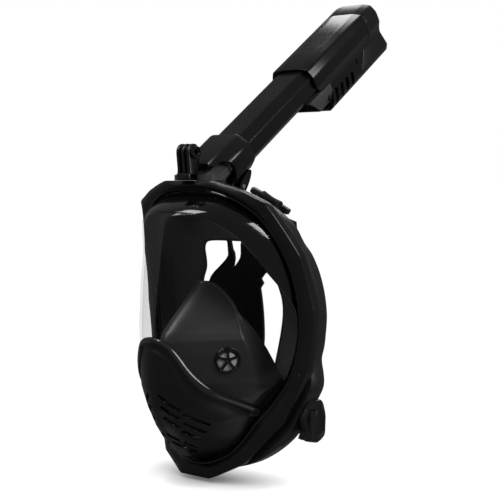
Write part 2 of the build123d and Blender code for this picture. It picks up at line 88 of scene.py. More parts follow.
@dataclass(frozen=True)
class Finish:
    """A surface finish.

    Args:
        name: material name.
        colour: base colour, linear.
        roughness: mean roughness.
        pattern: small-scale relief.
        relief: strength of the relief.
        scale: how many cells of relief to the metre.
        dust: how much the colour lifts in specks on upward faces.
        metallic: metal share.
        coat: clear coat share.
        sheen: fabric sheen share.
        glow: share of light let through from behind.
        specular: strength of the plain reflection.
    """

    name: str
    colour: tuple[float, float, float]
    roughness: float
    pattern: Pattern = Pattern.GRAIN
    relief: float = 0.05
    scale: float = 900.0
    dust: float = 0.02
    metallic: float = 0.0
    coat: float = 0.0
    sheen: float = 0.0
    glow: float = 0.0
    specular: float = 0.5


FINISHES = {
    "frame": Finish("frame black", (0.005, 0.005, 0.0054), 0.30, relief=0.02, scale=1800.0),
    "gloss": Finish("gloss black", (0.003, 0.003, 0.0033), 0.09, Pattern.SMOOTH, coat=0.6, dust=0.0),
    "cover": Finish("cover black", (0.006, 0.006, 0.0064), 0.33, relief=0.02, scale=1800.0),
    "trim": Finish("trim gloss", (0.02, 0.02, 0.021), 0.13, Pattern.SMOOTH, coat=0.5, dust=0.0),
    "tube": Finish("tube black", (0.005, 0.005, 0.0054), 0.24, relief=0.015, scale=1500.0),
    "grey": Finish("grey plastic", (0.075, 0.076, 0.078), 0.38, relief=0.04, scale=1500.0),
    "skirt": Finish("skirt silicone", (0.024, 0.024, 0.025), 0.40, relief=0.03, scale=1200.0, glow=0.2),
    # painted light: a lighter copy of the skirt silicone, standing in for the light that falls on the
    # skirt's inside
    "lining": Finish("skirt silicone painted lighter", (0.13, 0.13, 0.133), 0.42, relief=0.03, scale=1200.0, glow=0.3),
    "pocket": Finish("pocket silicone", (0.042, 0.042, 0.043), 0.36, relief=0.03, scale=1200.0,
                     glow=0.25),
    "valve": Finish("valve black", (0.004, 0.004, 0.0045), 0.2, Pattern.SMOOTH, dust=0.0),
    "flap": Finish("flap silicone", (0.88, 0.885, 0.89), 0.4, relief=0.03, glow=0.25),
    "steel": Finish("stainless steel", (0.55, 0.55, 0.57), 0.28, Pattern.SMOOTH, metallic=1.0),
    "strap": Finish("strap weave", (0.006, 0.006, 0.0065), 0.75, Pattern.WEAVE, relief=0.35,
                    scale=700.0, sheen=0.15, specular=0.2),
    "clip": Finish("clip black", (0.005, 0.005, 0.0055), 0.32, relief=0.03),
    "float": Finish("float foam", (0.55, 0.56, 0.56), 0.7, relief=0.2, scale=700.0),
}


class NodeTree:
    """A small helper that adds and joins shader nodes."""

    def __init__(self, tree: bpy.types.NodeTree) -> None:
        """Args: tree: the tree to add nodes to."""
        self.tree = tree

    def add(self, kind: str, inputs: dict | None = None, **settings: object) -> bpy.types.Node:
        """Adds a node.

        Args:
            kind: the node's type without its "ShaderNode" prefix.
            inputs: input name or index to a constant or to a socket.
            settings: attributes to set first.
        Returns:
            The new node.
        """
        node = self.tree.nodes.new(kind if kind.startswith("Node") else "ShaderNode" + kind)
        for name, value in settings.items():
            setattr(node, name, value)
        for name, value in (inputs or {}).items():
            if isinstance(value, bpy.types.NodeSocket):
                self.tree.links.new(value, node.inputs[name])
            else:
                node.inputs[name].default_value = value
        return node


def blank_material(name: str) -> tuple[bpy.types.Material, NodeTree]:
    """Returns: a new material without nodes, and the helper that fills it."""
    material = bpy.data.materials.new(name)
    material.use_nodes = True
    material.node_tree.nodes.clear()
    return material, NodeTree(material.node_tree)


class EffectLibrary:
    """Shader node groups shared by the materials."""

    def __init__(self) -> None:
        """Builds every group once."""
        self.grain = self._relief("fine grain", Pattern.GRAIN)
        self.weave = self._relief("elastic weave", Pattern.WEAVE)
        self.wear = self._wear()

    @staticmethod
    def _group(name: str, inputs: Sequence[tuple], outputs: Sequence[tuple]) -> tuple:
        """Makes an empty group.

        Args:
            name: group name.
            inputs: (name, socket type, default) of each input.
            outputs: (name, socket type) of each output.
        Returns:
            (group, helper, input node, output node).
        """
        group = bpy.data.node_groups.new(name, "ShaderNodeTree")
        for label, kind, default in inputs:
            socket = group.interface.new_socket(label, in_out="INPUT", socket_type=kind)
            if default is not None:
                socket.default_value = default
        for label, kind in outputs:
            group.interface.new_socket(label, in_out="OUTPUT", socket_type=kind)
        helper = NodeTree(group)
        return group, helper, helper.add("NodeGroupInput"), helper.add("NodeGroupOutput")

    def _relief(self, name: str, pattern: Pattern) -> bpy.types.NodeTree:
        """A relief's normal and mask.

        Args:
            name: group name.
            pattern: grain or weave.
        Returns:
            The group.
        """
        group, nodes, start, end = self._group(
            name,
            [("Scale", "NodeSocketFloat", 900.0), ("Strength", "NodeSocketFloat", 0.1)],
            [("Mask", "NodeSocketFloat"), ("Normal", "NodeSocketVector")],
        )
        place = nodes.add("TexCoord").outputs["Object"]
        if pattern is Pattern.WEAVE:
            parts = nodes.add("SeparateXYZ", {0: place})
            waves = []
            for first, second, phase in (("X", "Z", 0.0), ("Z", "X", 1.57)):
                across = nodes.add("Math", {0: parts.outputs[first], 1: start.outputs["Scale"]},
                                   operation="MULTIPLY")
                turn = nodes.add("Math", {0: across.outputs[0], 1: phase}, operation="ADD")
                waves.append(nodes.add("Math", {0: turn.outputs[0]}, operation="SINE"))
            mixed = nodes.add("Math", {0: waves[0].outputs[0], 1: waves[1].outputs[0]},
                              operation="MAXIMUM")
            height = mixed.outputs[0]
        else:
            noise = nodes.add("TexNoise", {"Vector": place, "Scale": start.outputs["Scale"],
                                           "Detail": 3.0, "Roughness": 0.6})
            height = noise.outputs["Fac"]
        bump = nodes.add("Bump", {"Height": height, "Strength": start.outputs["Strength"],
                                  "Distance": 0.0004})
        nodes.tree.links.new(height, end.inputs["Mask"])
        nodes.tree.links.new(bump.outputs[0], end.inputs["Normal"])
        return group

    def _wear(self) -> bpy.types.NodeTree:
        """Handling marks and dust: a varied colour and roughness.

        Returns:
            The group.
        """
        group, nodes, start, end = self._group(
            "handling marks",
            [("Colour", "NodeSocketColor", (0.01, 0.01, 0.01, 1.0)),
             ("Roughness", "NodeSocketFloat", 0.4), ("Dust", "NodeSocketFloat", 0.02)],
            [("Colour", "NodeSocketColor"), ("Roughness", "NodeSocketFloat")],
        )
        place = nodes.add("TexCoord").outputs["Object"]
        broad = nodes.add("TexNoise", {"Vector": place, "Scale": 28.0, "Detail": 5.0})
        fine = nodes.add("TexNoise", {"Vector": place, "Scale": 320.0, "Detail": 4.0})
        marks = nodes.add("MapRange", {0: broad.outputs["Fac"], 1: 0.35, 2: 0.7, 3: 0.86, 4: 1.2})
        rough = nodes.add("Math", {0: start.outputs["Roughness"], 1: marks.outputs[0]},
                          operation="MULTIPLY")
        up = nodes.add("SeparateXYZ", {0: nodes.add("NewGeometry").outputs["Normal"]})
        lying = nodes.add("MapRange", {0: up.outputs["Z"], 1: 0.2, 2: 1.0, 3: 0.0, 4: 1.0})
        specks = nodes.add("MapRange", {0: fine.outputs["Fac"], 1: 0.5, 2: 0.75, 3: 0.0, 4: 1.0})
        amount = nodes.add("Math", {0: lying.outputs[0], 1: specks.outputs[0]}, operation="MULTIPLY")
        share = nodes.add("Math", {0: amount.outputs[0], 1: start.outputs["Dust"]},
                          operation="MULTIPLY")
        mix = nodes.add("Mix", {0: share.outputs[0], 6: start.outputs["Colour"],
                                7: (0.3, 0.29, 0.28, 1.0)}, data_type="RGBA")
        nodes.tree.links.new(mix.outputs[2], end.inputs["Colour"])
        nodes.tree.links.new(rough.outputs[0], end.inputs["Roughness"])
        return group


class Workshop:
    """Makes materials from finishes."""

    def __init__(self) -> None:
        """Builds the shared effects and every material."""
        self.effects = EffectLibrary()
        self.materials = {key: self._opaque(finish) for key, finish in FINISHES.items()}
        self.materials["lens"] = self._clear()

    def _opaque(self, finish: Finish) -> bpy.types.Material:
        """Builds a plastic, rubber, metal or fabric material.

        Args:
            finish: what it looks like.
        Returns:
            The material.
        """
        material, nodes = blank_material(finish.name)
        wear = nodes.add("Group", node_tree=self.effects.wear)
        wear.inputs["Colour"].default_value = (*finish.colour, 1.0)
        wear.inputs["Roughness"].default_value = finish.roughness
        wear.inputs["Dust"].default_value = finish.dust
        shader = nodes.add("BsdfPrincipled", {
            "Base Color": wear.outputs["Colour"], "Roughness": wear.outputs["Roughness"],
            "Metallic": finish.metallic, "Coat Weight": finish.coat, "Coat Roughness": 0.04,
            "Sheen Weight": finish.sheen, "Specular IOR Level": finish.specular,
        })
        if finish.pattern is not Pattern.SMOOTH:
            group = self.effects.weave if finish.pattern is Pattern.WEAVE else self.effects.grain
            relief = nodes.add("Group", node_tree=group)
            relief.inputs["Scale"].default_value = finish.scale
            relief.inputs["Strength"].default_value = finish.relief
            nodes.tree.links.new(relief.outputs["Normal"], shader.inputs["Normal"])
        result = shader.outputs[0]
        if finish.glow:
            through = nodes.add("BsdfTranslucent", {"Color": (0.35, 0.355, 0.36, 1.0)})
            mix = nodes.add("MixShader", {0: finish.glow, 1: result, 2: through.outputs[0]})
            result = mix.outputs[0]
        nodes.add("OutputMaterial", {"Surface": result})
        return material

    @staticmethod
    def _clear() -> bpy.types.Material:
        """Builds the lens's clear polycarbonate.

        Returns:
            The material.
        """
        material, nodes = blank_material("clear polycarbonate")
        place = nodes.add("TexCoord").outputs["Object"]
        smears = nodes.add("TexNoise", {"Vector": place, "Scale": 14.0, "Detail": 3.0})
        rough = nodes.add("MapRange", {0: smears.outputs["Fac"], 1: 0.3, 2: 0.8, 3: 0.02, 4: 0.07})
        facing = nodes.add("LayerWeight", {"Blend": 0.22})
        edge = nodes.add("MapRange", {0: facing.outputs["Facing"], 1: 0.0, 2: 1.0, 3: 0.99, 4: 0.95})
        tint = nodes.add("CombineColor", {0: edge.outputs[0], 1: edge.outputs[0], 2: edge.outputs[0]})
        clear = nodes.add("BsdfTransparent", {"Color": tint.outputs[0]})
        gloss = nodes.add("BsdfGlossy", {"Color": (0.9, 0.9, 0.9, 1.0), "Roughness": rough.outputs[0]})
        fresnel = nodes.add("Fresnel", {"IOR": 1.45})
        camera = nodes.add("LightPath").outputs["Is Camera Ray"]
        share = nodes.add("Math", {0: fresnel.outputs[0], 1: camera}, operation="MULTIPLY")
        share = nodes.add("Math", {0: share.outputs[0], 1: 0.14}, operation="MULTIPLY")
        mix = nodes.add("MixShader", {0: share.outputs[0], 1: clear.outputs[0], 2: gloss.outputs[0]})
        nodes.add("OutputMaterial", {"Surface": mix.outputs[0]})
        return material

    def __getitem__(self, key: str) -> bpy.types.Material:
        """Returns: the material of that key."""
        return self.materials[key]


# ---------------------------------------------------------------------------- geometry helpers
def smoothstep(value: np.ndarray, low: float, high: float) -> np.ndarray:
    """Returns: 0 below low, 1 above high, smooth between them."""
    t = np.clip((value - low) / (high - low), 0.0, 1.0)
    return t * t * (3 - 2 * t)


def soft_max(a: np.ndarray, b: np.ndarray, width: float) -> np.ndarray:
    """Returns: the larger of two fields, blended over a width."""
    return (a + b + np.sqrt((a - b) ** 2 + width ** 2)) / 2


def catmull(points: np.ndarray, count: int = 24) -> np.ndarray:
    """Returns: a closed smooth curve through 2-D points."""
    n = len(points)
    t = np.linspace(0, 1, count, endpoint=False)[:, None]
    out = []
    for i in range(n):
        p0, p1, p2, p3 = (points[(i + k) % n] for k in (-1, 0, 1, 2))
        out.append(0.5 * (2 * p1 + (p2 - p0) * t + (2 * p0 - 5 * p1 + 4 * p2 - p3) * t ** 2
                          + (3 * p1 - p0 - 3 * p2 + p3) * t ** 3))
    return np.concatenate(out)


class Outline:
    """A closed outline seen from the front, as a radius round a centre."""

    def __init__(self, half: Sequence[tuple[float, float]], centre: float, smooth: bool) -> None:
        """Args: half: (x, z) of the right half, top to bottom; centre: height of the centre;
        smooth: curved through the points, or straight between them."""
        right = [(x, z) for x, z in half]
        left = [(-x, z) for x, z in reversed(half) if x > 0]
        ring = np.array(right + left, float)
        if smooth:
            ring = catmull(ring)
        else:
            share = np.linspace(0, 1, 24, endpoint=False)[:, None, None]
            ring = (ring * (1 - share) + np.roll(ring, -1, 0) * share).transpose(1, 0, 2)
            ring = ring.reshape(-1, 2)
        angle = np.arctan2(ring[:, 1] - centre, ring[:, 0])
        order = np.argsort(angle)
        self.centre = centre
        self._angle = angle[order]
        self._radius = np.hypot(ring[:, 0], ring[:, 1] - centre)[order]

    def radius(self, angle: np.ndarray) -> np.ndarray:
        """Returns: the outline's radius in each direction."""
        wrapped = (angle + math.pi) % (2 * math.pi) - math.pi
        return np.interp(wrapped, self._angle, self._radius, period=2 * math.pi)


@dataclass(frozen=True)
class MaskForm:
    """The mask's ruling curves, in millimetres in the row frame."""

    arc_radius: float = 200.0
    arc_level: float = -10.0
    arc_back: float = -30.0
    centre: float = -4.0
    fullness: float = 1.75

    def depth(self, z: np.ndarray) -> np.ndarray:
        """Returns: the depth of the ring's curve at a height."""
        drop = np.clip(z - self.arc_level, -190, 190)
        return self.arc_back - self.arc_radius + np.sqrt(self.arc_radius ** 2 - drop ** 2)

    def brow(self, z: np.ndarray) -> np.ndarray:
        """Returns: the depth of the lens's middle line at a height."""
        heights = [-140, -122, -112, -100, -86, -70, -52, -30, 0, 30, 60, 90, 130]
        depths = [-62, -76, -88, -100, -110, -117, -121.5, -122.8, -122.6, -119.5, -115, -110, -103]
        return np.interp(z, heights, depths)


FORM = MaskForm()
WINDOW = Outline([(0, 116), (38, 111), (66, 90), (82, 50), (86, 5), (83, -24), (75, -49), (61, -69),
                  (49, -84), (40, -101), (27, -115), (0, -122.5)], FORM.centre, True)
RIM = Outline([(0, 125.4), (28, 125.4), (40, 121.8), (54, 116.6), (73, 106.8), (92, 62), (98.8, 12),
               (93, -40), (76, -85), (46, -121.8), (17, -136.8)], FORM.centre, False)
SKIRT = Outline([(0, 118), (40, 115.5), (73, 91), (88, 52), (91.5, 12), (90, -20), (90.5, -55),
                 (84, -81), (72, -104), (50.5, -121), (24, -129.5), (0, -130.5)], FORM.centre, True)
OPENING = Outline([(0, 70), (26, 69), (34, 63), (36, 51), (38, 43), (44.5, 30), (47.2, 8),
                   (40, -35), (35, -76), (16, -91),
                   (0, -92)], FORM.centre, True)
POCKET = Outline([(0, 34), (12, 31), (31, 10), (45.5, -25), (47, -76), (24, -96), (0, -98)],
                 -30.0, True)
COVER = Outline([(0, -7.5), (9, -9), (17, -14), (24, -24), (30, -36), (37, -48), (43, -58), (49, -67),
                 (52.5, -74), (52, -79), (47, -86), (38.6, -101), (26, -113.6), (0, -121.2)],
                -75.0, True)
SLOTS = [(12.4, -63.4, 19.0, 46), (11.4, -72.4, 16.0, 48), (9.8, -81.0, 12.5, 48),
         (25.1, -79.4, 15.5, 50), (21.8, -87.0, 13.5, 49), (18.4, -93.6, 11.5, 46),
         (6.2, -95.8, 10.5, 42), (4.6, -102.4, 6.0, 45), (14.6, -103.0, 7.5, 48),
         (11.2, -109.2, 6.0, 46)]


def circle_angles(count: int = STEPS) -> np.ndarray:
    """Returns: evenly spaced directions round a closed loop."""
    return np.linspace(0, 2 * math.pi, count, endpoint=False)


def half_breadth(z: np.ndarray) -> np.ndarray:
    """Returns: the half width of the lens's front surface at a height; wide at the brow."""
    angles = np.linspace(-math.pi / 2, math.pi / 2, 400)
    r = WINDOW.radius(angles)
    heights, widths = FORM.centre + r * np.sin(angles), r * np.cos(angles)
    widths = np.where(heights > 55, np.maximum(widths, 80 - (heights - 55) * 0.06), widths)
    return np.maximum(np.interp(z, heights, widths), 6.0)


def lens_depth(x: np.ndarray, z: np.ndarray) -> np.ndarray:
    """Returns: the depth of the lens's outer surface."""
    wide = half_breadth(z)
    middle = FORM.brow(z)
    ring = FORM.depth(z)
    bend = np.sqrt((np.abs(x) / wide) ** 2 + 0.0016)
    front = middle + (ring - middle) * bend ** FORM.fullness
    angle = np.arctan2(z - FORM.centre, x)
    edge = WINDOW.radius(angle)
    inside = np.maximum(edge - np.hypot(x, z - FORM.centre), 0.0)
    rim_z = FORM.centre + edge * np.sin(angle)
    wall = FORM.depth(rim_z) + 1.0 - 2.1 * inside
    return np.minimum(soft_max(front, wall, 7.0), FORM.depth(rim_z) + 1.0)


def add_object(name: str, data: bpy.types.ID) -> bpy.types.Object:
    """Returns: a new object with that data, linked to the scene."""
    thing = bpy.data.objects.new(name, data)
    bpy.context.scene.collection.objects.link(thing)
    return thing


def from_worker(name: str, worker: bmesh.types.BMesh) -> bpy.types.Object:
    """Returns: a linked object made from an edit mesh, which is freed."""
    mesh = bpy.data.meshes.new(name)
    worker.to_mesh(mesh)
    worker.free()
    return add_object(name, mesh)


def add_box(worker: bmesh.types.BMesh, place: Matrix, size: Sequence[float]) -> None:
    """Adds a box to an edit mesh.

    Args:
        worker: the edit mesh.
        place: where the box's centre goes and how it turns, in millimetres.
        size: its three lengths.
    """
    bmesh.ops.create_cube(worker, size=1.0,
                          matrix=Matrix.Scale(MM, 4) @ place @ Matrix.Diagonal((*size, 1.0)))


def rescale(thing: bpy.types.Object, place: Matrix) -> None:
    """Moves an object's mesh by a matrix in millimetres."""
    thing.data.transform(Matrix.Scale(MM, 4) @ place @ Matrix.Scale(1 / MM, 4))


def shade(mesh: bpy.types.Mesh, sharp: float = 32.0) -> None:
    """Shades a mesh smooth except over sharp edges."""
    mesh.shade_smooth()
    mesh.set_sharp_from_angle(angle=math.radians(sharp))


def build_mesh(name: str, points: np.ndarray, faces: Iterable[Sequence[int]]) -> bpy.types.Object:
    """Makes an object from points in millimetres.

    Args:
        name: the object's name.
        points: vertex places.
        faces: vertex numbers of each face.
    Returns:
        The object, linked to the scene.
    """
    mesh = bpy.data.meshes.new(name)
    mesh.from_pydata((np.asarray(points) * MM).tolist(), [], [list(f) for f in faces])
    mesh.validate()
    worker = bmesh.new()
    worker.from_mesh(mesh)
    bmesh.ops.recalc_face_normals(worker, faces=worker.faces)
    worker.to_mesh(mesh)
    worker.free()
    shade(mesh)
    return add_object(name, mesh)


def loft(name: str, loops: Sequence[np.ndarray], closed: bool = True,
         caps: bool = False, ring: bool = True) -> bpy.types.Object:
    """Skins a row of loops that have the same number of points.

    Args:
        name: the object's name.
        loops: each loop's points in millimetres.
        closed: joins the last loop to the first.
        caps: closes the first and last loop.
        ring: joins each loop's last point to its first.
    Returns:
        The object.
    """
    count, rows = len(loops[0]), len(loops)
    faces = []
    for row in range(rows if closed else rows - 1):
        for i in range(count if ring else count - 1):
            j = (i + 1) % count
            nxt = (row + 1) % rows
            faces.append((row * count + i, row * count + j, nxt * count + j, nxt * count + i))
    if caps:
        faces.append(list(range(count))[::-1])
        faces.append([(rows - 1) * count + i for i in range(count)])
    return build_mesh(name, np.concatenate(loops), faces)


def apply_modifiers(thing: bpy.types.Object) -> None:
    """Turns an object's modifiers into mesh."""
    graph = bpy.context.evaluated_depsgraph_get()
    mesh = bpy.data.meshes.new_from_object(thing.evaluated_get(graph))
    thing.modifiers.clear()
    thing.data = mesh


def thicken(thing: bpy.types.Object, thickness: float, offset: float = 1.0) -> None:
    """Gives a surface a thickness in millimetres."""
    solid = thing.modifiers.new("wall", "SOLIDIFY")
    solid.thickness = thickness * MM
    solid.offset = offset
    solid.use_even_offset = False
    apply_modifiers(thing)


def soften(thing: bpy.types.Object, width: float, segments: int = 3, angle: float = 28.0) -> None:
    """Rounds an object's sharp edges.

    Args:
        thing: the object.
        width: rounding in millimetres.
        segments: steps in the rounding.
        angle: edges sharper than this are rounded.
    """
    bevel = thing.modifiers.new("edge", "BEVEL")
    bevel.width = width * MM
    bevel.segments = segments
    bevel.limit_method = "ANGLE"
    bevel.angle_limit = math.radians(angle)
    bevel.harden_normals = True
    apply_modifiers(thing)


def cut(thing: bpy.types.Object, cutter: bpy.types.Object) -> None:
    """Cuts one object out of another and removes the cutter."""
    boolean = thing.modifiers.new("cut", "BOOLEAN")
    boolean.operation = "DIFFERENCE"
    boolean.solver = "EXACT"
    boolean.object = cutter
    apply_modifiers(thing)
    bpy.data.objects.remove(cutter)


def finish(thing: bpy.types.Object, material: bpy.types.Material, body: Body, slot: str,
           stands_for: Sequence[str] = ()) -> bpy.types.Object:
    """Gives a piece its material and body, and hides the CAD nodes it stands for.

    Returns:
        The piece.
    """
    if not thing.data.materials:
        thing.data.materials.append(material)
    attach(thing, body.value)
    if stands_for:
        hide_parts(*stands_for)
    return thing


def fan(count: int, rings: int) -> list[tuple[int, ...]]:
    """Returns: the faces of a middle point and rings of points round it."""
    faces = [(0, 1 + i, 1 + (i + 1) % count) for i in range(count)]
    for row in range(rings - 1):
        a, b = 1 + row * count, 1 + (row + 1) * count
        faces += [(a + i, b + i, b + (i + 1) % count, a + (i + 1) % count) for i in range(count)]
    return faces


def disc_grid(name: str, outline: Outline, depth: Callable, rings: int, inset: float = 0.0,
              crowd: float = 1.6) -> bpy.types.Object:
    """A surface over an outline, with its depth given by a function of x and z.

    Args:
        name: the object's name.
        outline: its edge.
        depth: depth of a point, from arrays of x and z.
        rings: how many rings of faces.
        inset: how far inside the outline it stops.
        crowd: crowds rings towards the edge when above 1.
    Returns:
        The object.
    """
    angles = circle_angles()
    radius = outline.radius(angles) - inset
    shares = 1 - (1 - np.linspace(0, 1, rings + 1)[1:]) ** crowd
    points = [np.array([[0.0, 0.0, outline.centre]])]
    for share in shares:
        x, z = radius * share * np.cos(angles), outline.centre + radius * share * np.sin(angles)
        points.append(np.stack([x, np.zeros_like(x), z], 1))
    everything = np.concatenate(points)
    everything[:, 1] = depth(everything[:, 0], everything[:, 2])
    return build_mesh(name, everything, fan(len(angles), rings))


# ---------------------------------------------------------------------------- mask shell
class MaskShell:
    """The ring frame, the lens, its border, the chin cover and the trim."""

    def __init__(self, shop: Workshop) -> None:
        """Args: shop: the materials."""
        self.shop = shop

    @staticmethod
    def loop(share: float, depth: float, grow: float = 0.0) -> np.ndarray:
        """A loop round the mask.

        Args:
            share: 0 on the window, 1 on the frame's outer edge.
            depth: millimetres behind the ring's curve.
            grow: millimetres outwards.
        Returns:
            The loop's points.
        """
        angles = circle_angles()
        inner, outer = WINDOW.radius(angles), RIM.radius(angles)
        radius = inner + (outer - inner) * share + grow
        x, z = radius * np.cos(angles), FORM.centre + radius * np.sin(angles)
        return np.stack([x, FORM.depth(z) + depth, z], 1)

    def frame(self) -> None:
        """Builds the ring frame with its gloss inner rim and two facets."""
        section = [(0.0, 2.4), (0.0, -0.6), (0.03, -1.5), (0.09, -1.9), (0.15, -1.9), (0.19, -1.2),
                   (0.22, -0.9), (0.27, -1.2), (0.29, -1.3), (0.60, -0.2), (0.62, 0.0), (0.95, 4.6),
                   (0.985, 5.2), (1.0, 6.2), (1.0, 13.2), (0.985, 13.9), (0.74, 13.9),
                   (0.71, 13.3), (0.70, 2.4)]
        ring = loft("ring_frame", [self.loop(s, d) for s, d in section])
        ring.data.materials.append(self.shop["frame"])
        ring.data.materials.append(self.shop["gloss"])
        for number, face in enumerate(ring.data.polygons):
            face.material_index = 1 if number // STEPS in (0, 1, 2, 3, 4, 5) else 0
        finish(ring, self.shop["frame"], Body.MASK, "frame_black", ["outer_frame"])

    def clear_lens(self) -> None:
        """Builds the lens and the gloss border round its roof."""
        lens = disc_grid("clear_lens", WINDOW, lens_depth, 44, 0.4, 1.9)
        thicken(lens, 2.2, -1.0)
        finish(lens, self.shop["lens"], Body.MASK, "lens_clear", ["lens"])
        angles = circle_angles()
        upward = smoothstep(np.sin(angles), 0.12, 0.86)
        width = 2.0 + 15.5 * upward
        edge = WINDOW.radius(angles)
        loops = []
        for share in np.linspace(0, 1, 12):
            radius = edge - 0.8 - width * share
            x, z = radius * np.cos(angles), FORM.centre + radius * np.sin(angles)
            loops.append(np.stack([x, lens_depth(x, z) + 3.2, z], 1))
        border = loft("lens_border", loops, closed=False)
        thicken(border, 0.8, 0.0)
        finish(border, self.shop["gloss"], Body.MASK, "trim_gloss")

    @staticmethod
    def cover_depth(x: np.ndarray, z: np.ndarray) -> np.ndarray:
        """Returns: the depth of the chin cover's face, with the recess under its bead."""
        reach = COVER.radius(np.arctan2(z - COVER.centre, x)) - np.hypot(x, z - COVER.centre)
        upper = smoothstep(z, -86.0, -76.0)
        recess = (smoothstep(reach, 3.2, 4.6) - smoothstep(reach, 9.5, 12.5)) * upper
        return lens_depth(x, z) - 3.0 + 1.3 * recess

    def chin(self) -> None:
        """Builds the chin cover with its slots, and the bead on its upper edge."""
        cover = disc_grid("chin_shield", COVER, self.cover_depth, 48, 0.6, 1.3)
        thicken(cover, 2.2, -1.0)
        slots = bmesh.new()
        for side in (-1, 1):
            for x, z, length, lean in SLOTS:
                turn = Matrix.Rotation(math.radians(side * lean), 4, "Y")
                add_box(slots, Matrix.Translation((side * x, -100.0, z)) @ turn,
                        (length, 70.0, 3.8 if z > -95 else 3.1))
        cut(cover, from_worker("slots", slots))
        shade(cover.data, 35)
        finish(cover, self.shop["cover"], Body.MASK, "cover_black", ["chin_cover"])

        angles = np.linspace(math.radians(-6), math.radians(186), 160)
        edge = COVER.radius(angles)
        section = [(-1.2, -0.4), (-1.2, -3.4), (-0.2, -4.5), (1.0, -4.8), (2.2, -4.4), (3.0, -3.3),
                   (3.0, -0.4)]
        loops = []
        for outwards, lift in section:
            radius = edge - 2.6 + outwards
            x, z = radius * np.cos(angles), COVER.centre + radius * np.sin(angles)
            loops.append(np.stack([x, lens_depth(x, z) + lift, z], 1))
        bead = loft("cover_bead", loops, ring=False)
        finish(bead, self.shop["trim"], Body.MASK, "trim_gloss", ["cover_trim"])

    def build(self) -> None:
        """Builds every piece of the shell."""
        self.frame()
        self.clear_lens()
        self.chin()


